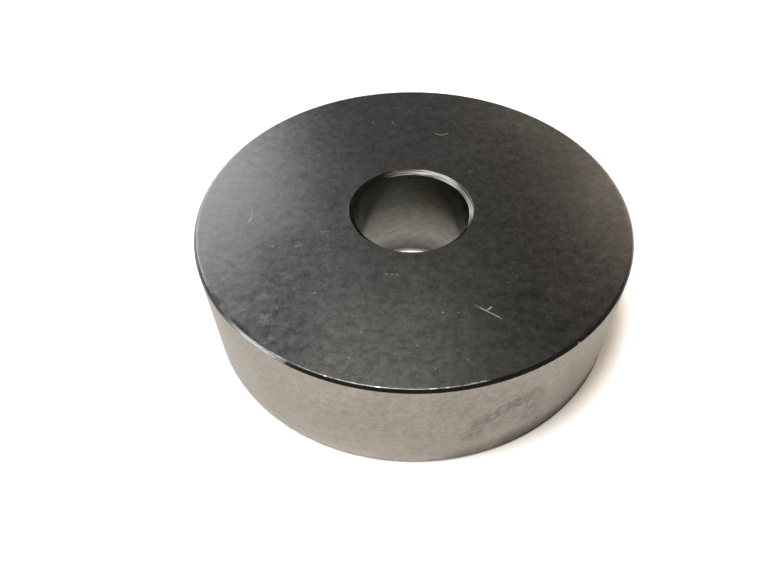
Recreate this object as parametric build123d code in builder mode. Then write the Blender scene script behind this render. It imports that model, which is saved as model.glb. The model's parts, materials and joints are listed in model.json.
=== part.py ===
from build123d import *
import os

# A plain turned disc of steel with a bore through its middle, in one piece.
# The blank is a slice of round bar. Both ends are faced, the rim is turned and
# the bore is cut on the same axis, and each edge is broken at 45 degrees.
# The origin is the centre of the bottom face, and +Z is the axis of turning.

# Turned sizes, in millimetres. Both ends of the disc are alike.
rim_diameter = 100.0
thickness = 27.5
bore_diameter = 27.0
rim_chamfer = 0.6
bore_chamfer = 1.0

os.makedirs("parts", exist_ok=True)

rim_radius = rim_diameter / 2
bore_radius = bore_diameter / 2

with BuildPart() as turned_disc:
    # Half of the section through the axis, from the bore's wall out to the rim.
    with BuildSketch(Plane.XZ) as half_section:
        with Locations((bore_radius, 0)):
            Rectangle(rim_radius - bore_radius, thickness, align=(Align.MIN, Align.MIN))
    revolve(axis=Axis.Z)

    # The round edges are broken last: first the two at the rim, which are the widest circles.
    rim_edges = turned_disc.edges().filter_by(GeomType.CIRCLE).group_by(SortBy.RADIUS)[-1]
    chamfer(rim_edges, length=rim_chamfer)

    # The two mouths of the bore are the narrowest circles, and get a wider lead-in.
    bore_edges = turned_disc.edges().filter_by(GeomType.CIRCLE).group_by(SortBy.RADIUS)[0]
    chamfer(bore_edges, length=bore_chamfer)

turned_disc.part.label = "turned_disc"
export_step(turned_disc.part, "parts/turned_disc.step")
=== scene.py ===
import json
import math
import random

import bmesh
import bpy
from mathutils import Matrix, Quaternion, Vector


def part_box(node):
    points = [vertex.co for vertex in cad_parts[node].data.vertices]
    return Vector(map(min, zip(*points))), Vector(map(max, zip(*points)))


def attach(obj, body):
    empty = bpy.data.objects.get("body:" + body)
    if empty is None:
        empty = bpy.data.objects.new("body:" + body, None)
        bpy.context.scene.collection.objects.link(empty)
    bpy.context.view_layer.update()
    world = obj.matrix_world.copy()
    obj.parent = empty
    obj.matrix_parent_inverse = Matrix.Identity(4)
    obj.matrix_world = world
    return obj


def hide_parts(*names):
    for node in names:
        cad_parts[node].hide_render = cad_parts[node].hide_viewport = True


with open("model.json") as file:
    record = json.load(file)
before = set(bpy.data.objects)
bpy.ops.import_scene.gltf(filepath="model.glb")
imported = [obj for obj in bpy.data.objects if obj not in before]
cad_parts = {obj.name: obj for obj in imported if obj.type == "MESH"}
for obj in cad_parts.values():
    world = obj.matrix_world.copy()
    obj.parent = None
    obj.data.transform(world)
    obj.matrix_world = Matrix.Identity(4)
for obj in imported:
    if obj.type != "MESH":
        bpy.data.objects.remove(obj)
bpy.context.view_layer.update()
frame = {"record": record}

# The turned disc: one slice of steel bar, faced on both ends, turned on the rim and bored
# through on the same axis. Both ends and the rim's edge breaks still wear a dark oxide film,
# and the rim and the bore are bare metal with the tool's marks.
mm = 0.001
low_corner, high_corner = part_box("turned_disc")
thickness = high_corner.z - low_corner.z
rim_radius = min(high_corner.x, -low_corner.x, high_corner.y, -low_corner.y)
bore_mount = next(m for m in frame["record"]["mounts"] if m["name"] == "bore")
bore_radius = bore_mount["dims"]["r_mm"] * mm
bore_break = (thickness - bore_mount["dims"]["length_mm"] * mm) / 2
rim_break = 0.6 * mm
edge_round = 0.07 * mm
flat_margin = 0.6 * mm

feed_pitch = 1.12 * mm
feed_depth = 0.005 * mm
break_rings = 4
break_ring_depth = 0.014 * mm
ring_steps = (1 / 3, 2 / 3, 1.0)

turned_steps = 720
same_place = 0.01 * mm


def scalloped(start, end, rings, depth, chance):
    """Section points from start to end, hollowed out by the rings that a round-nosed tool leaves."""
    start, end = Vector(start), Vector(end)
    along = end - start
    into_metal = Vector((along.y, -along.x)).normalized()
    if into_metal.x < 0:
        into_metal = -into_metal
    cusps = [(n + chance.uniform(-0.14, 0.14)) / rings for n in range(1, rings)]
    cusps = [0.0] + cusps + [1.0]
    points = []
    for first, last in zip(cusps, cusps[1:]):
        hollow = depth * chance.uniform(0.45, 1.25)
        for step in ring_steps:
            place = start + along * (first + (last - first) * step)
            points.append(place + into_metal * hollow * (1 - (2 * step - 1) ** 2))
    return points


# Half of the disc's section: over the rim's edge breaks, then up the bore. The boring bar
# leaves shallow rings at its feed, and the bore's edge breaks carry a few coarser rings.
chance = random.Random(11)
break_radius = rim_radius - rim_break
mouth_radius = bore_radius + bore_break
wall_rings = round((thickness - 2 * bore_break) / feed_pitch)
rim_corners = [
    (break_radius, thickness),
    (rim_radius, thickness - rim_break),
    (rim_radius, rim_break),
    (break_radius, 0.0),
]
section = [(break_radius - 2 * flat_margin, thickness), (break_radius - flat_margin, thickness)]
section += rim_corners
section += [(break_radius - flat_margin, 0.0), (mouth_radius + flat_margin, 0.0), (mouth_radius, 0.0)]
section += scalloped(
    (mouth_radius, 0.0), (bore_radius, bore_break), break_rings, break_ring_depth, chance
)
section += scalloped(
    (bore_radius, bore_break), (bore_radius, thickness - bore_break), wall_rings, feed_depth, chance
)
section += scalloped(
    (bore_radius, thickness - bore_break), (mouth_radius, thickness),
    break_rings, break_ring_depth, chance,
)
section.append((mouth_radius + flat_margin, thickness))

# The section is turned right round the axis, and the rim's four corners are rounded a little.
disc_body = bmesh.new()
corners = [disc_body.verts.new((x, 0.0, z)) for x, z in section]
outline = [disc_body.edges.new(pair) for pair in zip(corners, corners[1:] + corners[:1])]
bmesh.ops.spin(
    disc_body, geom=corners + outline, axis=(0, 0, 1), cent=(0, 0, 0),
    angle=math.tau, steps=turned_steps, use_merge=True, use_duplicate=False,
)


def circle_edges(body, radius, height):
    """The edges of one circle of the turned mesh."""
    def on_it(vert):
        return (abs(vert.co.xy.length - radius) < same_place
                and abs(vert.co.z - height) < same_place)
    return [e for e in body.edges if on_it(e.verts[0]) and on_it(e.verts[1])]


corner_edges = []
for corner_radius, corner_height in rim_corners:
    corner_edges += circle_edges(disc_body, corner_radius, corner_height)
bmesh.ops.bevel(
    disc_body, geom=corner_edges, offset=edge_round, offset_type="OFFSET",
    segments=3, profile=0.5, affect="EDGES", material=-1,
)
bmesh.ops.recalc_face_normals(disc_body, faces=disc_body.faces)

# Knocks along the top edge of the rim: degrees round from the front, towards +X, and depth.
rim_knocks = [
    (-29.1, 0.05), (-18.2, 0.04), (-11.7, 0.05), (-9.2, 0.06), (-6.4, 0.05), (-1.6, 0.03),
    (5.5, 0.05), (8.2, 0.06), (12.1, 0.05), (16.0, 0.09), (40.8, 0.08), (175.3, 0.05),
]
knock_reach = 0.48 * mm
knock_push = Vector((0.6, 0.0, 0.8))
rim_verts = [
    v for v in disc_body.verts
    if v.co.z > thickness - rim_break and v.co.xy.length > break_radius - knock_reach
]
for degrees, depth in rim_knocks:
    turned = math.radians(degrees)
    outward = Vector((math.sin(turned), -math.cos(turned), 0.0))
    struck = outward * break_radius + Vector((0.0, 0.0, thickness))
    push = -(outward * knock_push.x + Vector((0.0, 0.0, knock_push.z)))
    for vert in rim_verts:
        away = (vert.co - struck).length / knock_reach
        if away < 1.0:
            vert.co += push * depth * mm * (1 - away * away) ** 2

# Which metal each face shows, and the flat map that the finish is baked through.
END_FACE, RIM_BREAK, RIM_WALL, BORE_BREAK, BORE_WALL = range(5)
bake_map = disc_body.loops.layers.uv.new("OFBake")
level_normal, upright_normal = 0.999, 0.35
top_share, bottom_share, wall_share = 0.62, 0.37, 0.165
top_square, bottom_square = (0.0, 0.335), (0.625, 0.335)
bore_corner, bore_size = (0.635, 0.715), (0.35, 0.235)
wall_width, wall_gap = 0.99, 0.002
disc_width = 2 * rim_radius
crease = math.radians(25)


def flat_place(place, corner, share):
    """Seen from above, shrunk into a square of the map."""
    margin = 0.004
    u = corner[0] + margin + (share - 2 * margin) * (place.x / disc_width + 0.5)
    v = corner[1] + margin + (share - 2 * margin) * (place.y / disc_width + 0.5)
    return u, v


for face in disc_body.faces:
    face.smooth = True
    middle = face.calc_center_median()
    radius = middle.xy.length
    level = abs(face.normal.z) > level_normal
    upright = abs(face.normal.z) < upright_normal
    if radius > (rim_radius + bore_radius) / 2:
        face.material_index = END_FACE if level else RIM_WALL if upright else RIM_BREAK
    else:
        at_mouth = radius > bore_radius + 3 * feed_depth
        face.material_index = END_FACE if level else BORE_BREAK if at_mouth else BORE_WALL
    for loop in face.loops:
        place = loop.vert.co
        if not upright:
            if face.normal.z > 0:
                loop[bake_map].uv = flat_place(place, top_square, top_share)
            else:
                loop[bake_map].uv = flat_place(place, bottom_square, bottom_share)
            continue
        centre_angle = math.atan2(middle.x, -middle.y)
        angle = math.atan2(place.x, -place.y)
        angle = centre_angle + math.remainder(angle - centre_angle, math.tau)
        if face.material_index == BORE_WALL or radius < rim_radius / 2:
            u = bore_corner[0] + bore_size[0] * place.z / thickness
            v = bore_corner[1] + bore_size[1] * (angle / math.tau + 0.5)
        else:
            front = abs(centre_angle) < math.pi / 2
            if not front:
                angle = math.remainder(angle - math.pi, math.tau)
            u = 0.5 + wall_width * angle / math.pi
            v = wall_gap if front else wall_share + 2 * wall_gap
            v += (wall_share - 3 * wall_gap) * place.z / thickness
        loop[bake_map].uv = (u, v)

for edge in disc_body.edges:
    if len(edge.link_faces) == 2:
        edge.smooth = edge.calc_face_angle(0.0) < crease

disc_mesh = bpy.data.meshes.new("turned_disc_finish")
disc_body.to_mesh(disc_mesh)
disc_body.free()


def add(tree, kind, settings=(), **values):
    """One shader node, its settings and its plain socket values."""
    made = tree.nodes.new(kind)
    for name, value in dict(settings).items():
        setattr(made, name, value)
    for name, value in values.items():
        made.inputs[name.replace("_", " ")].default_value = value
    return made


def sum_of(tree, operation, *terms):
    """A Math node on numbers or sockets, and its result."""
    made = tree.nodes.new("ShaderNodeMath")
    made.operation = operation
    for socket, term in zip(made.inputs, terms):
        if isinstance(term, (int, float)):
            socket.default_value = term
        else:
            tree.links.new(term, socket)
    return made.outputs[0]


def new_group(name, inputs, outputs):
    """An empty node group with named sockets, and its two ends."""
    group = bpy.data.node_groups.new(name, "ShaderNodeTree")
    for socket, kind in inputs:
        group.interface.new_socket(socket, in_out="INPUT", socket_type="NodeSocket" + kind)
    for socket, kind in outputs:
        group.interface.new_socket(socket, in_out="OUTPUT", socket_type="NodeSocket" + kind)
    return group, group.nodes.new("NodeGroupInput"), group.nodes.new("NodeGroupOutput")


def place_group(tree, group, links=(), **values):
    """One use of a group in a material, with its own values."""
    made = add(tree, "ShaderNodeGroup", {"node_tree": group}, **values)
    for name, source in dict(links).items():
        tree.links.new(source, made.inputs[name])
    return made


# Grain: the fine mottle of worked steel, with wider clouds over it.
steel_grain, ends_in, ends_out = new_group(
    "steel_grain",
    [("Place", "Vector"), ("Grain Size", "Float"), ("Grain Depth", "Float"),
     ("Cloud Size", "Float"), ("Cloud Depth", "Float")],
    [("Shade", "Float"), ("Grain", "Float"), ("Cloud", "Float")],
)
grain_noise = add(steel_grain, "ShaderNodeTexNoise", Detail=5.0, Roughness=0.9)
cloud_noise = add(steel_grain, "ShaderNodeTexNoise", Detail=3.0, Roughness=0.55)
for noise, size in ((grain_noise, "Grain Size"), (cloud_noise, "Cloud Size")):
    steel_grain.links.new(ends_in.outputs["Place"], noise.inputs["Vector"])
    steel_grain.links.new(sum_of(steel_grain, "DIVIDE", 1.0, ends_in.outputs[size]), noise.inputs["Scale"])
grain_part = sum_of(steel_grain, "SUBTRACT", grain_noise.outputs["Fac"], 0.5)
cloud_part = sum_of(steel_grain, "SUBTRACT", cloud_noise.outputs["Fac"], 0.5)
grain_part = sum_of(steel_grain, "MULTIPLY", grain_part, ends_in.outputs["Grain Depth"])
cloud_part = sum_of(steel_grain, "MULTIPLY", cloud_part, ends_in.outputs["Cloud Depth"])
both_parts = sum_of(steel_grain, "ADD", grain_part, cloud_part)
steel_grain.links.new(sum_of(steel_grain, "ADD", both_parts, 1.0), ends_out.inputs["Shade"])
steel_grain.links.new(grain_noise.outputs["Fac"], ends_out.inputs["Grain"])
steel_grain.links.new(cloud_noise.outputs["Fac"], ends_out.inputs["Cloud"])

# Turning marks: streaks that run round the axis, as a lathe tool leaves them.
turning_marks, ends_in, ends_out = new_group(
    "turning_marks",
    [("Place", "Vector"), ("Pitch", "Float"), ("Around", "Float")],
    [("Streak", "Float")],
)
apart = add(turning_marks, "ShaderNodeSeparateXYZ")
turning_marks.links.new(ends_in.outputs["Place"], apart.inputs[0])
square_x = sum_of(turning_marks, "MULTIPLY", apart.outputs["X"], apart.outputs["X"])
square_y = sum_of(turning_marks, "MULTIPLY", apart.outputs["Y"], apart.outputs["Y"])
from_axis = sum_of(turning_marks, "SQRT", sum_of(turning_marks, "ADD", square_x, square_y))
across = sum_of(turning_marks, "MULTIPLY_ADD", apart.outputs["Z"], 1.4, from_axis)
streak_place = add(turning_marks, "ShaderNodeCombineXYZ")
for axis_name in ("X", "Y"):
    unit = sum_of(turning_marks, "DIVIDE", apart.outputs[axis_name], from_axis)
    unit = sum_of(turning_marks, "MULTIPLY", unit, ends_in.outputs["Around"])
    turning_marks.links.new(unit, streak_place.inputs[axis_name])
turning_marks.links.new(
    sum_of(turning_marks, "DIVIDE", across, ends_in.outputs["Pitch"]), streak_place.inputs["Z"]
)
streak_noise = add(turning_marks, "ShaderNodeTexNoise", Scale=1.0, Detail=2.0)
turning_marks.links.new(streak_place.outputs[0], streak_noise.inputs["Vector"])
turning_marks.links.new(streak_noise.outputs["Fac"], ends_out.inputs["Streak"])

# A stroke: a scratch, speck or smudge along a straight line from Start to End.
stroke, ends_in, ends_out = new_group(
    "stroke",
    [("Place", "Vector"), ("Start", "Vector"), ("End", "Vector"),
     ("Width", "Float"), ("Strength", "Float")],
    [("Mask", "Float")],
)


def of_vectors(tree, operation, first, second):
    """A Vector Math node on two sockets."""
    made = tree.nodes.new("ShaderNodeVectorMath")
    made.operation = operation
    tree.links.new(first, made.inputs[0])
    tree.links.new(second, made.inputs[1])
    return made


run = of_vectors(stroke, "SUBTRACT", ends_in.outputs["End"], ends_in.outputs["Start"]).outputs[0]
reach = of_vectors(stroke, "SUBTRACT", ends_in.outputs["Place"], ends_in.outputs["Start"]).outputs[0]
run_along = of_vectors(stroke, "DOT_PRODUCT", reach, run).outputs["Value"]
run_square = of_vectors(stroke, "DOT_PRODUCT", run, run).outputs["Value"]
run_share = sum_of(stroke, "DIVIDE", run_along, run_square)
run_share = sum_of(stroke, "MAXIMUM", sum_of(stroke, "MINIMUM", run_share, 1.0), 0.0)
nearest = add(stroke, "ShaderNodeVectorMath", {"operation": "SCALE"})
stroke.links.new(run, nearest.inputs[0])
stroke.links.new(run_share, nearest.inputs["Scale"])
aside = of_vectors(stroke, "DISTANCE", reach, nearest.outputs[0]).outputs["Value"]
fading = add(stroke, "ShaderNodeMapRange", {"interpolation_type": "SMOOTHSTEP"}, To_Min=1.0, To_Max=0.0)
stroke.links.new(sum_of(stroke, "DIVIDE", aside, ends_in.outputs["Width"]), fading.inputs["Value"])
fading.inputs["From Min"].default_value = 0.2
stroke.links.new(
    sum_of(stroke, "MULTIPLY", fading.outputs[0], ends_in.outputs["Strength"]),
    ends_out.inputs["Mask"],
)


def strokes_mask(tree, place, strokes):
    """The strongest of several strokes at each point: (start, end, width, strength) in millimetres."""
    mask = None
    for start, end, width, strength in strokes:
        made = place_group(
            tree, stroke, {"Place": place}, Start=[c * mm for c in start],
            End=[c * mm for c in end], Width=width * mm, Strength=strength,
        )
        mask = made.outputs["Mask"] if mask is None else sum_of(tree, "MAXIMUM", mask, made.outputs["Mask"])
    return mask


# A worn edge: the places within a short way of one circle of the turned form.
worn_edge, ends_in, ends_out = new_group(
    "worn_edge",
    [("Place", "Vector"), ("Circle Radius", "Float"), ("Circle Height", "Float"),
     ("Width", "Float"), ("Unevenness", "Float")],
    [("Mask", "Float")],
)
apart = add(worn_edge, "ShaderNodeSeparateXYZ")
worn_edge.links.new(ends_in.outputs["Place"], apart.inputs[0])
square_x = sum_of(worn_edge, "MULTIPLY", apart.outputs["X"], apart.outputs["X"])
square_y = sum_of(worn_edge, "MULTIPLY", apart.outputs["Y"], apart.outputs["Y"])
from_axis = sum_of(worn_edge, "SQRT", sum_of(worn_edge, "ADD", square_x, square_y))
off_radius = sum_of(worn_edge, "SUBTRACT", from_axis, ends_in.outputs["Circle Radius"])
off_height = sum_of(worn_edge, "SUBTRACT", apart.outputs["Z"], ends_in.outputs["Circle Height"])
off_edge = sum_of(worn_edge, "SQRT", sum_of(
    worn_edge, "ADD", sum_of(worn_edge, "MULTIPLY", off_radius, off_radius),
    sum_of(worn_edge, "MULTIPLY", off_height, off_height),
))
wear_noise = add(worn_edge, "ShaderNodeTexNoise", Scale=900.0, Detail=3.0, Roughness=0.6)
worn_edge.links.new(ends_in.outputs["Place"], wear_noise.inputs["Vector"])
uneven = sum_of(worn_edge, "SUBTRACT", wear_noise.outputs["Fac"], 0.5)
uneven = sum_of(worn_edge, "MULTIPLY", uneven, ends_in.outputs["Unevenness"])
off_share = sum_of(worn_edge, "DIVIDE", off_edge, ends_in.outputs["Width"])
off_share = sum_of(worn_edge, "ADD", off_share, uneven)
fading = add(worn_edge, "ShaderNodeMapRange", {"interpolation_type": "SMOOTHSTEP"}, To_Min=1.0, To_Max=0.0)
fading.inputs["From Min"].default_value = 0.4
worn_edge.links.new(off_share, fading.inputs["Value"])
worn_edge.links.new(fading.outputs[0], ends_out.inputs["Mask"])


def new_material(name):
    """A material with its Principled shader and the piece's own coordinates."""
    made = bpy.data.materials.new(name)
    made.use_nodes = True
    place = add(made.node_tree, "ShaderNodeTexCoord").outputs["Object"]
    return made, made.node_tree, made.node_tree.nodes["Principled BSDF"], place


def shaded(tree, colour, shade):
    """A fixed colour made lighter or darker by a value near 1."""
    made = add(tree, "ShaderNodeVectorMath", {"operation": "SCALE"})
    made.inputs[0].default_value = colour
    tree.links.new(shade, made.inputs["Scale"])
    return made.outputs[0]


def over(tree, under_socket, over_socket, mask):
    """One colour laid over another through a mask."""
    made = add(tree, "ShaderNodeMix", {"data_type": "RGBA"})
    tree.links.new(mask, made.inputs[0])
    tree.links.new(under_socket, made.inputs[6])
    if isinstance(over_socket, tuple):
        made.inputs[7].default_value = over_socket
    else:
        tree.links.new(over_socket, made.inputs[7])
    return made.outputs[2]


def rough_between(tree, value, smooth, rough):
    """Roughness that follows a value from 0 to 1."""
    made = add(tree, "ShaderNodeMapRange", To_Min=smooth, To_Max=rough)
    tree.links.new(value, made.inputs["Value"])
    return made.outputs[0]


def near(tree, place, centre, reach, fade):
    """One within reach of a point, in millimetres, and fading to nought beyond it."""
    away = add(tree, "ShaderNodeVectorMath", {"operation": "DISTANCE"})
    away.inputs[1].default_value = [c * mm for c in centre]
    tree.links.new(place, away.inputs[0])
    made = add(
        tree, "ShaderNodeMapRange", {"interpolation_type": "SMOOTHSTEP"},
        From_Min=reach * mm, From_Max=(reach + fade) * mm, To_Min=1.0, To_Max=0.0,
    )
    tree.links.new(away.outputs["Value"], made.inputs["Value"])
    return made.outputs[0]


def bumped(tree, height, shader, depth):
    """Fine relief, with its depth in metres."""
    made = add(tree, "ShaderNodeBump", Strength=1.0, Distance=depth)
    tree.links.new(height, made.inputs["Height"])
    tree.links.new(made.outputs["Normal"], shader.inputs["Normal"])


# The dark oxide film on the two end faces, thin and mottled. The top one carries
# scratches down to bare metal, small specks, lighter rubbed patches and darker ones,
# and two broad patches of painted shade.
film_colour = (0.098, 0.098, 0.098)
bare_scratch = (0.65, 0.63, 0.64, 1.0)
top = thickness / mm
scratches = [
    ((13.3, -29.0, top), (14.5, -29.85, top), 0.24, 0.4),
    ((14.3, -29.7, top), (17.8, -32.05, top), 0.22, 1.0),
    ((17.8, -32.05, top), (18.4, -32.45, top), 0.16, 0.5),
    ((15.4, -30.5, top), (16.0, -29.95, top), 0.22, 0.7),
    ((16.0, -29.95, top), (16.45, -29.5, top), 0.34, 0.9),
    ((6.2, 29.5, top), (7.5, 28.9, top), 0.42, 0.45),
    ((7.5, 28.9, top), (9.2, 29.7, top), 0.42, 0.4),
    ((-5.3, 35.0, top), (-5.1, 34.0, top), 0.28, 0.35),
    ((-10.7, 35.0, top), (-10.3, 33.8, top), 0.28, 0.3),
    ((-13.8, 36.0, top), (-13.6, 36.2, top), 0.5, 0.2),
    ((-37.1, -1.1, top), (-36.7, -4.0, top), 0.2, 0.07),
    ((-36.7, -4.0, top), (-37.0, -5.3, top), 0.26, 0.14),
    ((-19.9, -8.4, top), (-18.5, -8.1, top), 0.3, 0.14),
    ((-25.3, -13.1, top), (-24.3, -12.5, top), 0.28, 0.18),
    ((-5.2, -20.9, top), (-4.6, -20.9, top), 0.24, 0.3),
    ((-3.9, -21.0, top), (-3.6, -21.0, top), 0.24, 0.3),
    ((-2.9, -21.0, top), (-2.4, -21.1, top), 0.24, 0.3),
    ((14.1, 14.1, top), (14.6, 13.7, top), 0.4, 0.2),
    ((20.1, -22.7, top), (20.5, -22.7, top), 0.26, 0.3),
    ((-14.6, 1.0, top), (-14.45, -2.8, top), 0.1, 0.3),
    ((3.75, -31.0, top), (3.85, -31.05, top), 0.26, 0.24),
    ((6.6, -31.1, top), (6.85, -31.1, top), 0.28, 0.34),
    ((9.75, -31.1, top), (9.95, -31.1, top), 0.26, 0.3),
    ((11.6, -47.8, top), (12.6, -47.6, top), 0.3, 0.5),
    ((13.5, -47.45, top), (13.65, -47.4, top), 0.44, 1.0),
]
specks = [
    (-30.4, -13.1), (-14.6, -1.6), (-9.1, -13.2), (-4.5, -14.8), (-19.4, -26.5),
    (-26.8, -30.7), (-9.3, -29.1), (-9.3, -36.4), (-11.2, -42.6), (1.6, -39.4),
    (5.1, -44.6), (11.2, -42.5), (18.6, -38.7), (27.2, -31.8), (27.9, 33.4),
    (22.4, -20.9), (21.4, -18.8), (37.6, -20.2), (14.9, 5.0),
]
scratches += [((x, y, top), (x, y, top), 0.36, 0.2) for x, y in specks]
rubbed_patches = [
    ((-30.2, -27.7, top), (-29.6, -28.0, top), 1.4, 0.5),
    ((-29.2, -33.2, top), (-28.6, -34.0, top), 1.9, 0.8),
    ((-33.8, -32.2, top), (-33.0, -32.8, top), 1.5, 0.6),
    ((-28.2, -38.4, top), (-27.4, -39.0, top), 1.7, 0.8),
]
dark_patches_and_shade = [
    ((-42.6, -25.6, top), (-38.9, -30.1, top), 0.8, 2.2),
    ((-35.2, -34.3, top), (-31.5, -37.5, top), 0.8, 2.4),
    ((-17.8, 2.0, top), (-17.6, -6.5, top), 2.6, 0.5),
    ((-24.4, -7.1, top), (-24.0, -7.6, top), 1.8, 0.4),
    ((-19.9, -20.1, top), (-24.5, -26.0, top), 4.5, 0.35),
    ((-30.0, 9.5, top), (-23.0, 13.5, top), 2.4, 0.3),
    ((44.4, -2.2, top), (44.0, 1.0, top), 2.2, 0.4),
    ((-26.7, -40.9, top), (-16.5, -45.0, top), 1.6, 0.4),
    # These two are broad painted shade that sets the level of each side, and not marks.
    ((-27.0, -14.0, top), (-24.0, -39.0, top), 9.5, 0.9),
    ((25.0, 20.0, top), (29.0, -30.0, top), 17.0, 1.0),
]

# Parts of the face: a middle place, how far each reaches and how far it fades, in millimetres.
handled_front = ((-6.5, -break_radius / mm, top), 20, 3)
clean_left = ((-52, 3, top), 10, 26)
clean_right = ((46, 8, top), 10, 18)


def top_edge(tree, place, width, unevenness):
    """The strip along the top edge of the rim, this many millimetres wide."""
    return place_group(
        tree, worn_edge, {"Place": place}, Circle_Radius=break_radius, Circle_Height=thickness,
        Width=width * mm, Unevenness=unevenness,
    ).outputs[0]


def front_part(tree, place):
    """The front of the rim's top edge, where it is handled most."""
    return near(tree, place, *handled_front)


def on_top_edge(degrees):
    """A place on the rim's top edge, in millimetres: degrees round from the front, towards +X."""
    turned = math.radians(degrees)
    return (break_radius / mm * math.sin(turned), -break_radius / mm * math.cos(turned), top)


# Short bright rubs on the same edge, from and to so many degrees, with their width and strength.
edge_rubs = [
    (-18.4, -18.0, 0.2, 0.9), (-11.9, -11.4, 0.16, 0.6), (-6.9, -6.0, 0.2, 0.8),
    (4.6, 5.8, 0.2, 0.9), (7.9, 8.5, 0.2, 0.8), (11.8, 12.2, 0.16, 0.5),
]


def handled_edge(tree, place, width):
    """Bare metal along the front of the top edge, where hands and benches rub it."""
    rubbed = sum_of(tree, "MULTIPLY", top_edge(tree, place, width, 3.2), 0.27)
    rubbed = sum_of(tree, "MULTIPLY", rubbed, front_part(tree, place))
    rubs = [(on_top_edge(start), on_top_edge(end), wide, strong) for start, end, wide, strong in edge_rubs]
    return sum_of(tree, "MAXIMUM", rubbed, strokes_mask(tree, place, rubs))


def duller_edge(tree, place, roughness):
    """Roughness made higher along the same part of the edge."""
    dulled = sum_of(tree, "MULTIPLY", top_edge(tree, place, 0.3, 0.0), front_part(tree, place))
    return sum_of(tree, "MULTIPLY_ADD", dulled, 0.18, roughness)


def on_rim(degrees, height):
    """A place on the rim's wall, in millimetres: degrees round from the front, towards +X."""
    turned = math.radians(degrees)
    return (rim_radius / mm * math.sin(turned), -rim_radius / mm * math.cos(turned), height)


def rim_strokes(tree, place, strokes):
    """Strokes on the rim's wall, each from one (degrees, height) to another."""
    placed = [(on_rim(*start), on_rim(*end), width, strength) for start, end, width, strength in strokes]
    return strokes_mask(tree, place, placed)


# Parts of the rim's top edge break, given in the same way.
# Where the edge break is painted lighter, as painted reflection of the bright left side, and where its
# painted highlight is strongest.
painted_left_part = (on_rim(-58, top), 24.6, 2.2)
painted_highlight_part = (on_rim(-36, top), 5.0, 8.0)
knocked_part = (on_rim(40.8, top - 0.4), 0.2, 0.25)


def painted_left_side(tree, place):
    """The left side of the rim's top edge break, painted a lighter grey as a painted reflection of the
    bright left side.
    """
    return near(tree, place, *painted_left_part)


end_face_finish, tree, shader, place = new_material("oxide_film")
shader.inputs["Metallic"].default_value = 1.0
grain = place_group(
    tree, steel_grain, {"Place": place}, Grain_Size=2.1 * mm, Grain_Depth=2.5,
    Cloud_Size=9 * mm, Cloud_Depth=0.30,
)
rings = place_group(tree, turning_marks, {"Place": place}, Pitch=0.5 * mm, Around=2.2)
ruffle = add(tree, "ShaderNodeTexNoise", Scale=2500.0, Detail=1.0)
tree.links.new(place, ruffle.inputs["Vector"])
ruffled = add(tree, "ShaderNodeVectorMath", {"operation": "MULTIPLY_ADD"})
tree.links.new(ruffle.outputs["Color"], ruffled.inputs[0])
ruffled.inputs[1].default_value = (0.22 * mm, 0.22 * mm, 0.0)
tree.links.new(place, ruffled.inputs[2])
scratch_mask = strokes_mask(tree, ruffled.outputs[0], scratches)
patch_breakup = add(tree, "ShaderNodeMapRange", From_Min=0.43, From_Max=0.57)
tree.links.new(grain.outputs["Grain"], patch_breakup.inputs["Value"])
rubbed_mask = sum_of(tree, "MULTIPLY", strokes_mask(tree, place, rubbed_patches), patch_breakup.outputs[0])
# Darker patches of the film, and the two broad patches of painted shade.
dark_patch_and_shade_mask = strokes_mask(tree, place, dark_patches_and_shade)
streaks = sum_of(tree, "MULTIPLY_ADD", rings.outputs["Streak"], 0.10, -0.05)
evenness = sum_of(tree, "MULTIPLY_ADD", near(tree, place, *clean_left), -0.66, 1.0)
evenness = sum_of(tree, "MULTIPLY_ADD", near(tree, place, *clean_right), -0.25, evenness)
film_shade = sum_of(tree, "SUBTRACT", grain.outputs["Shade"], 1.0)
film_shade = sum_of(tree, "MULTIPLY_ADD", film_shade, evenness, 1.0)
film_shade = sum_of(tree, "ADD", film_shade, streaks)
film_shade = sum_of(tree, "MULTIPLY_ADD", rubbed_mask, 0.7, film_shade)
film_shade = sum_of(tree, "MULTIPLY_ADD", dark_patch_and_shade_mask, -0.2, film_shade)
film = shaded(tree, film_colour, film_shade)
bare_mask = sum_of(tree, "MAXIMUM", scratch_mask, handled_edge(tree, place, 0.12))
tree.links.new(over(tree, film, bare_scratch, bare_mask), shader.inputs["Base Color"])
film_roughness = rough_between(tree, grain.outputs["Cloud"], 0.25, 0.31)
tree.links.new(duller_edge(tree, place, film_roughness), shader.inputs["Roughness"])
bumped(tree, grain.outputs["Grain"], shader, 0.0012 * mm)

# The same film on the rim's edge breaks. On the left it is painted a lighter grey with a painted
# highlight, as a painted reflection of the bright left side, and it is worn to a bright line
# along the front of the top edge.
edge_film_colour = (0.07, 0.067, 0.063)
painted_left_colour = (0.13, 0.13, 0.13)
rim_break_finish, tree, shader, place = new_material("oxide_edge")
shader.inputs["Metallic"].default_value = 1.0
grain = place_group(
    tree, steel_grain, {"Place": place}, Grain_Size=2.0 * mm, Grain_Depth=0.9,
    Cloud_Size=5 * mm, Cloud_Depth=0.5,
)
film = shaded(tree, edge_film_colour, grain.outputs["Shade"])
painted_left_mask = painted_left_side(tree, place)
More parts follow.
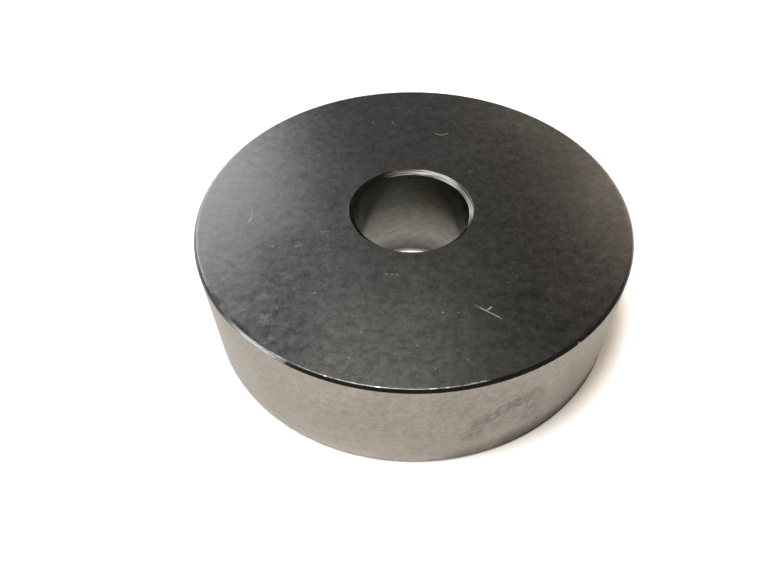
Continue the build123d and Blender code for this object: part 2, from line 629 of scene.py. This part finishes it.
# A painted highlight, where the bright left side mirrors most strongly in the edge break.
painted_highlight = near(tree, place, *painted_highlight_part)
painted_left_shade = sum_of(tree, "MULTIPLY_ADD", painted_highlight, 0.9, grain.outputs["Shade"])
painted_left_film = shaded(tree, painted_left_colour, painted_left_shade)
film = over(tree, film, painted_left_film, painted_left_mask)
worn_mask = handled_edge(tree, place, 0.1)
worn_mask = sum_of(tree, "MAXIMUM", worn_mask, near(tree, place, *knocked_part))
tree.links.new(over(tree, film, bare_scratch, worn_mask), shader.inputs["Base Color"])
film_roughness = rough_between(tree, painted_left_mask, 0.21, 0.31)
tree.links.new(duller_edge(tree, place, film_roughness), shader.inputs["Roughness"])
bumped(tree, grain.outputs["Grain"], shader, 0.01 * mm)

# The turned rim: warm grey metal with a fine matt grain, and a rubbed smudge on the right
# of the front. Each stroke runs between two places, in degrees round and millimetres up.
smudges = [
    ((29.0, 17.2), (26.0, 17.2), 3.6, 0.8),
    ((27.0, 17.4), (21.5, 15.8), 3.4, 0.85),
    ((21.5, 15.8), (16.4, 13.5), 3.4, 0.7),
    ((17.4, 14.0), (14.8, 9.0), 3.4, 0.55),
    ((31.0, 15.5), (30.0, 9.5), 4.2, 0.6),
    ((27.0, 12.5), (22.0, 11.5), 4.5, 0.35),
    ((14.0, 19.0), (9.0, 23.0), 6.0, 0.22),
    ((24.0, 21.0), (17.0, 23.0), 5.0, 0.22),
    ((33.2, 6.5), (32.8, 5.6), 2.4, 0.25),
    ((31.2, 18.8), (29.9, 17.9), 0.9, 1.0),
    ((29.4, 18.9), (28.2, 17.9), 0.9, 1.0),
    ((26.9, 18.1), (25.9, 17.4), 0.9, 1.0),
    ((24.4, 16.6), (22.9, 15.9), 0.9, 1.0),
    ((30.6, 15.9), (29.4, 15.3), 0.8, 0.8),
    ((33.3, 6.4), (33.1, 5.8), 0.7, 1.3),
    ((-48.1, 24.9), (-48.1, 24.9), 0.6, 1.6),
]

# Shades that set the level of the rim's foot: darker on the right, lighter on the left, and
# a dark line where the disc meets the table. They are painted, and aren't marks in the metal.
painted_foot_shade = [
    ((14, 0.3), (26, 0.3), 6.0, 0.3),
    ((26, 0.3), (38, 0.3), 7.0, 0.55),
    ((38, 0.3), (50, 0.3), 7.0, 0.55),
    ((50, 0.3), (62, 0.3), 7.5, 0.68),
    ((62, 0.3), (74, 0.3), 7.5, 0.6),
    ((74, 0.3), (86, 0.3), 6.5, 0.4),
    ((86, 0.3), (98, 0.3), 6.0, 0.24),
    ((98, 0.3), (112, 0.3), 5.5, 0.12),
    ((46, 11), (68, 12), 15.0, 0.16),
    ((-62, 7), (-78, 9), 17.0, 0.1),
]
painted_foot_light = [
    ((-42, 0.3), (-26, 0.3), 5.2, 0.36),
    ((-26, 0.3), (-10, 0.3), 5.5, 0.42),
    ((-10, 0.3), (5, 0.3), 4.6, 0.28),
    ((-42, 0.3), (-27, 0.3), 13.0, 0.1),
    ((-26, 0.3), (-8, 0.3), 15.0, 0.2),
    ((-6, 0.3), (4, 0.3), 10.0, 0.08),
]
painted_contact_shadow = [
    ((6, 0.6), (14, 0.6), 0.7, 0.4),
    ((14, 0.6), (22, 0.6), 0.8, 0.6),
    ((22, 0.6), (30, 0.6), 0.9, 0.8),
    ((30, 0.6), (38, 0.6), 1.2, 1.0),
    ((38, 0.6), (46, 0.6), 1.3, 1.0),
    ((46, 0.6), (54, 0.6), 1.3, 1.0),
    ((54, 0.6), (62, 0.6), 1.3, 1.0),
    ((62, 0.6), (74, 0.6), 1.2, 0.9),
    ((74, 0.6), (86, 0.6), 1.1, 0.7),
    ((86, 0.6), (98, 0.6), 1.0, 0.5),
    ((98, 0.6), (112, 0.6), 0.9, 0.3),
    ((112, 0.6), (126, 0.6), 0.8, 0.15),
]

rim_colour = (0.3, 0.27, 0.232)
rim_finish, tree, shader, place = new_material("turned_rim")
shader.inputs["Specular Tint"].default_value = (0.77, 0.76, 0.74, 1.0)
shader.inputs["Specular IOR Level"].default_value = 0.0
grain = place_group(
    tree, steel_grain, {"Place": place}, Grain_Size=1.3 * mm, Grain_Depth=1.4,
    Cloud_Size=10 * mm, Cloud_Depth=0.16,
)
smudge_mask = rim_strokes(tree, place, smudges)
smudge_breakup = add(tree, "ShaderNodeMapRange", From_Min=0.42, From_Max=0.58, To_Min=1.1, To_Max=0.65)
tree.links.new(grain.outputs["Grain"], smudge_breakup.inputs["Value"])
smudge_mask = sum_of(tree, "MULTIPLY", smudge_mask, smudge_breakup.outputs[0])
# Painted shade on the foot, for the disc's shadow on the table mirrored in the rim.
painted_foot_shade_mask = rim_strokes(tree, place, painted_foot_shade)
# Painted contact shadow: a dark line where the disc meets the table.
clear_of_contact_shadow = sum_of(tree, "SUBTRACT", 1.0, rim_strokes(tree, place, painted_contact_shadow))
# Painted light on the left of the foot.
rim_shade = sum_of(tree, "ADD", rim_strokes(tree, place, painted_foot_light), grain.outputs["Shade"])
rim_shade = sum_of(tree, "MULTIPLY_ADD", smudge_mask, -0.45, rim_shade)
rim_shade = sum_of(tree, "MULTIPLY", rim_shade, sum_of(tree, "SUBTRACT", 1.0, painted_foot_shade_mask))
rim_shade = sum_of(tree, "MULTIPLY", rim_shade, clear_of_contact_shadow)
# The painted shade and contact shadow also lower the metallic share, so these places mirror less.
metal_part = sum_of(tree, "MULTIPLY_ADD", painted_foot_shade_mask, -0.72, 1.0)
tree.links.new(sum_of(tree, "MULTIPLY", metal_part, clear_of_contact_shadow), shader.inputs["Metallic"])
rim_metal = shaded(tree, rim_colour, rim_shade)
film_spill = place_group(
    tree, worn_edge, {"Place": place}, Circle_Radius=rim_radius, Circle_Height=thickness - rim_break,
    Width=0.08 * mm, Unevenness=0.8,
)
# The spill is left out on the left, where the edge break is painted lighter.
spill_mask = sum_of(tree, "SUBTRACT", film_spill.outputs[0], painted_left_side(tree, place))
spill_mask = sum_of(tree, "MAXIMUM", spill_mask, 0.0)
spill_colour = (*edge_film_colour, 1.0)
tree.links.new(over(tree, rim_metal, spill_colour, spill_mask), shader.inputs["Base Color"])
tree.links.new(rough_between(tree, grain.outputs["Cloud"], 0.31, 0.37), shader.inputs["Roughness"])
bumped(tree, grain.outputs["Grain"], shader, 0.012 * mm)

# The bore's edge breaks: freshly cut bright steel with the tool's rings and fine streaks.
# It shows only round the right of the top one, and the rest of both is painted dark, a
# painted shade for the dark room that it mirrors.
cut_colour = (0.585, 0.57, 0.54)
painted_dark_break_colour = (0.045, 0.043, 0.04)
bore_break_finish, tree, shader, place = new_material("cut_edge")
shader.inputs["Metallic"].default_value = 1.0
grain = place_group(
    tree, steel_grain, {"Place": place}, Grain_Size=0.5 * mm, Grain_Depth=0.5,
    Cloud_Size=4 * mm, Cloud_Depth=0.3,
)
rings = place_group(tree, turning_marks, {"Place": place}, Pitch=0.12 * mm, Around=5.0)
cut_round = math.radians(43)
cut_middle = (bore_radius / mm * math.sin(cut_round), bore_radius / mm * math.cos(cut_round), top)
cut_reach, cut_fade = 11.2, 7.0
# Where the bright cut steel shows; everywhere else the break carries the painted shade.
cut_mask = near(tree, place, cut_middle, cut_reach, cut_fade)
cut_mask = sum_of(tree, "SUBTRACT", cut_mask, 1.2)
cut_mask = sum_of(tree, "MULTIPLY_ADD", rings.outputs["Streak"], 2.0, cut_mask)
cut_sharp = add(tree, "ShaderNodeMapRange", From_Min=0.25, From_Max=0.45)
tree.links.new(cut_mask, cut_sharp.inputs["Value"])
tool_rings = place_group(tree, turning_marks, {"Place": place}, Pitch=0.48 * mm, Around=1.3)
ring_lines = add(tree, "ShaderNodeMapRange", From_Min=0.42, From_Max=0.5, To_Min=0.25, To_Max=1.05)
tree.links.new(tool_rings.outputs["Streak"], ring_lines.inputs["Value"])
cut_shade = sum_of(tree, "MULTIPLY", grain.outputs["Shade"], ring_lines.outputs[0])
bright_cut = shaded(tree, cut_colour, cut_shade)
# Painted shade: the dark colour on the rest of both breaks.
film = shaded(tree, painted_dark_break_colour, grain.outputs["Shade"])
tree.links.new(over(tree, film, bright_cut, cut_sharp.outputs[0]), shader.inputs["Base Color"])
tree.links.new(rough_between(tree, rings.outputs["Streak"], 0.27, 0.36), shader.inputs["Roughness"])
bumped(tree, rings.outputs["Streak"], shader, 0.012 * mm)

# The bored wall: grey metal with the feed's rings broken into streaks, and painted shade
# that makes it darker towards both mouths, for the dark wall and shaded table it mirrors.
bore_colour = (0.169, 0.163, 0.14)
bore_finish, tree, shader, place = new_material("bored_wall")
shader.inputs["Metallic"].default_value = 1.0
grain = place_group(
    tree, steel_grain, {"Place": place}, Grain_Size=0.7 * mm, Grain_Depth=0.2,
    Cloud_Size=8 * mm, Cloud_Depth=0.3,
)
rings = place_group(tree, turning_marks, {"Place": place}, Pitch=0.34 * mm, Around=6.0)
streaks = sum_of(tree, "MULTIPLY_ADD", rings.outputs["Streak"], 1.4, -0.7)
bore_shade = sum_of(tree, "ADD", grain.outputs["Shade"], streaks)
apart = add(tree, "ShaderNodeSeparateXYZ")
tree.links.new(place, apart.inputs[0])
# Painted shade, darker towards the top and the bottom of the bore.
upper_painted_shade = add(
    tree, "ShaderNodeMapRange", From_Min=7 * mm, From_Max=18 * mm, To_Min=1.2, To_Max=0.42,
)
lower_painted_shade = add(
    tree, "ShaderNodeMapRange", From_Min=1.5 * mm, From_Max=6.5 * mm, To_Min=0.42,
)
for shade in (upper_painted_shade, lower_painted_shade):
    tree.links.new(apart.outputs["Z"], shade.inputs["Value"])
    bore_shade = sum_of(tree, "MULTIPLY", bore_shade, shade.outputs[0])
tree.links.new(shaded(tree, bore_colour, bore_shade), shader.inputs["Base Color"])
tree.links.new(rough_between(tree, grain.outputs["Cloud"], 0.23, 0.30), shader.inputs["Roughness"])
bumped(tree, rings.outputs["Streak"], shader, 0.008 * mm)

for finish in (end_face_finish, rim_break_finish, rim_finish, bore_break_finish, bore_finish):
    disc_mesh.materials.append(finish)
disc = bpy.data.objects.new("turned_disc_finish", disc_mesh)
bpy.context.scene.collection.objects.link(disc)
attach(disc, "root")
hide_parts("turned_disc")

# The floor: a plain white table top, which isn't part of the disc. It clips to white where
# light falls freely and keeps the disc's shadow. Some of its white is a glow of its own,
# warm near the disc, which turns white and stronger with distance.
floor_half = 3.0
floor_drop = 0.02 * mm
floor_glow = 0.19
near_glow, far_glow = (1.0, 0.87, 0.74, 1.0), (1.0, 1.0, 1.0, 1.0)
near_floor = ((0, 0, 0), 230, 500)
floor_body = bmesh.new()
bmesh.ops.create_grid(floor_body, x_segments=1, y_segments=1, size=floor_half)
bmesh.ops.translate(floor_body, verts=floor_body.verts, vec=(0, 0, -floor_drop))
floor_mesh = bpy.data.meshes.new("floor")
floor_body.to_mesh(floor_mesh)
floor_body.free()
floor_finish, tree, shader, place = new_material("white_table")
shader.inputs["Base Color"].default_value = (0.9, 0.9, 0.9, 1.0)
shader.inputs["Roughness"].default_value = 0.9
shader.inputs["Specular IOR Level"].default_value = 0.0
far_part = sum_of(tree, "SUBTRACT", 1.0, near(tree, place, *near_floor))
glow_colour = add(tree, "ShaderNodeMix", {"data_type": "RGBA"})
glow_colour.inputs[6].default_value = near_glow
glow_colour.inputs[7].default_value = far_glow
tree.links.new(far_part, glow_colour.inputs[0])
tree.links.new(glow_colour.outputs[2], shader.inputs["Emission Color"])
ray = add(tree, "ShaderNodeLightPath")
seen = sum_of(tree, "MAXIMUM", ray.outputs["Is Camera Ray"], ray.outputs["Is Glossy Ray"])
seen = sum_of(tree, "MAXIMUM", seen, ray.outputs["Is Transmission Ray"])
glow = sum_of(tree, "MULTIPLY_ADD", far_part, 1.0 - floor_glow, floor_glow)
tree.links.new(sum_of(tree, "MULTIPLY", seen, glow), shader.inputs["Emission Strength"])
floor_mesh.materials.append(floor_finish)
floor = bpy.data.objects.new("floor", floor_mesh)
bpy.context.scene.collection.objects.link(floor)

# The light: a dim warm room, and soft panels round the disc.
room = bpy.data.worlds.new("room")
room.use_nodes = True
room.node_tree.nodes["Background"].inputs["Color"].default_value = (0.19, 0.17, 0.155, 1.0)
bpy.context.scene.world = room
panel_distance = 1.2


def soft_panel(name, azimuth, elevation, size, brightness, colour):
    """A soft light that faces the disc. Azimuth is from +Y, the back, towards +X."""
    data = bpy.data.lights.new(name, "AREA")
    data.shape = "RECTANGLE"
    data.size, data.size_y = size
    data.energy = math.pi * data.size * data.size_y * brightness
    data.color = colour
    panel = bpy.data.objects.new(name, data)
    across, up = math.radians(azimuth), math.radians(elevation)
    aim = Vector((math.sin(across) * math.cos(up), math.cos(across) * math.cos(up), math.sin(up)))
    panel.location = aim * panel_distance
    panel.rotation_mode = "QUATERNION"
    panel.rotation_quaternion = (-aim).to_track_quat("-Z", "Y")
    bpy.context.scene.collection.objects.link(panel)


soft_panel("ceiling_left", -124, 80, (0.2, 0.2), 90, (0.69, 0.86, 1.0))
soft_panel("ceiling_front", -140, 84, (0.2, 0.2), 31, (1.0, 0.58, 0.2))
soft_panel("ceiling_back", -10, 61, (0.4, 0.4), 1.4, (1.0, 1.0, 0.9))
soft_panel("back_window", -29, 34, (0.46, 0.42), 3.8, (0.93, 0.94, 1.0))
soft_panel("back_window_left", -42, 40, (0.22, 0.22), 10, (0.93, 0.94, 1.0))
soft_panel("back_window_low", -34, 22, (0.4, 0.4), 5.6, (0.97, 0.98, 1.0))
soft_panel("small_window", -110, 18, (0.42, 0.12), 9.6, (1.0, 1.0, 1.0))
soft_panel("left_wall", -105, 36, (0.6, 0.5), 1.4, (0.94, 0.95, 1.0))
soft_panel("front_wall", -148, 50, (0.35, 0.35), 1.7, (1.0, 0.93, 0.83))
soft_panel("back_wall", 20, 28, (0.4, 0.3), 1.0, (1.0, 0.91, 0.74))
soft_panel("back_wall_right", 31, 30, (0.28, 0.28), 4.6, (1.0, 0.84, 0.66))
soft_panel("back_wall_middle", -3, 33, (0.4, 0.4), 0.15, (1.0, 0.97, 0.93))

# The camera stands on the front side and looks down at the disc, as a hand-held phone does.
camera_distance = 170 * mm
camera_elevation = math.radians(48.29)
camera_turn = math.radians(2.32)
camera_tip = math.radians(-0.145)
camera_roll = math.radians(0.97)
lens_length = 30.13
backward = Vector((0.0, -math.cos(camera_elevation), math.sin(camera_elevation)))
camera_data = bpy.data.cameras.new("camera")
camera_data.lens = lens_length
camera_data.clip_start = 0.01
camera_data.clip_end = 20.0
camera = bpy.data.objects.new("camera", camera_data)
camera.location = backward * camera_distance
camera.rotation_mode = "QUATERNION"
camera.rotation_quaternion = (
    (-backward).to_track_quat("-Z", "Y")
    @ Quaternion((0, 1, 0), camera_turn)
    @ Quaternion((1, 0, 0), camera_tip)
    @ Quaternion((0, 0, 1), camera_roll)
)
bpy.context.scene.collection.objects.link(camera)
bpy.context.scene.camera = camera
bpy.context.scene.view_settings.view_transform = "Standard"
